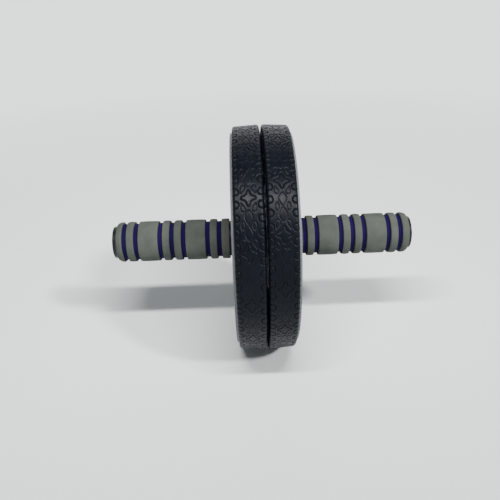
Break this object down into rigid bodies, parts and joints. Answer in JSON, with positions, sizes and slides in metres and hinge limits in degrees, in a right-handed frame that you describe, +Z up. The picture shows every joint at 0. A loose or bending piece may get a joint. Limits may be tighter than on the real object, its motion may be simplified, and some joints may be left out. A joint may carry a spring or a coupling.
{
  "type": "ab wheel roller",
  "caption": "Ab exercise roller: tyred wheels turn side by side on a steel rod, with a banded foam grip at each end.",
  "frame": {"origin": "on the floor under the middle of the rod, between the two tyres", "axes": "+X along the rod towards the grip on the right of the picture, +Y away from the camera, +Z up"},
  "size_m": [0.2428, 0.1808, 0.1808],
  "materials": {
    "tyre_rubber": "matt moulded rubber",
    "rim_plastic": "light grey, satin moulded",
    "black_plastic": "black, satin moulded",
    "cap_plastic": "black, fine moulded grain",
    "grey_foam": "closed-cell foam",
    "purple_foam": "closed-cell foam",
    "rod_steel": "drawn",
    "screw_steel": "zinc plated"
  },
  "bodies": {
    "handle": {"axle_rod": "rod_steel", "centre_spacer": "black_plastic", "thrust_washer_left": "black_plastic", "handle_core_left": "black_plastic", "grip_sleeve_left": "purple_foam", "grip_bands_left": "grey_foam", "end_cap_left": "cap_plastic", "retaining_washer_left": "screw_steel", "retaining_screw_left": "screw_steel", "thrust_washer_right": "black_plastic", "handle_core_right": "black_plastic", "grip_sleeve_right": "purple_foam", "grip_bands_right": "grey_foam", "end_cap_right": "cap_plastic", "retaining_washer_right": "screw_steel", "retaining_screw_right": "screw_steel"},
    "wheel_left": {"tyre_left": "tyre_rubber", "wheel_rim_left": "rim_plastic", "bush_inner_left": "black_plastic", "bush_outer_left": "black_plastic"},
    "wheel_right": {"tyre_right": "tyre_rubber", "wheel_rim_right": "rim_plastic", "bush_inner_right": "black_plastic", "bush_outer_right": "black_plastic"}
  },
  "joints": [
    {"name": "wheel_left_spin", "type": "hinge", "parent": "handle", "child": "wheel_left", "pos_m": [0, 0, 0.0905], "axis": [1, 0, 0], "continuous": true},
    {"name": "wheel_right_spin", "type": "hinge", "parent": "handle", "child": "wheel_right", "pos_m": [0, 0, 0.0905], "axis": [1, 0, 0], "continuous": true}
  ]
}
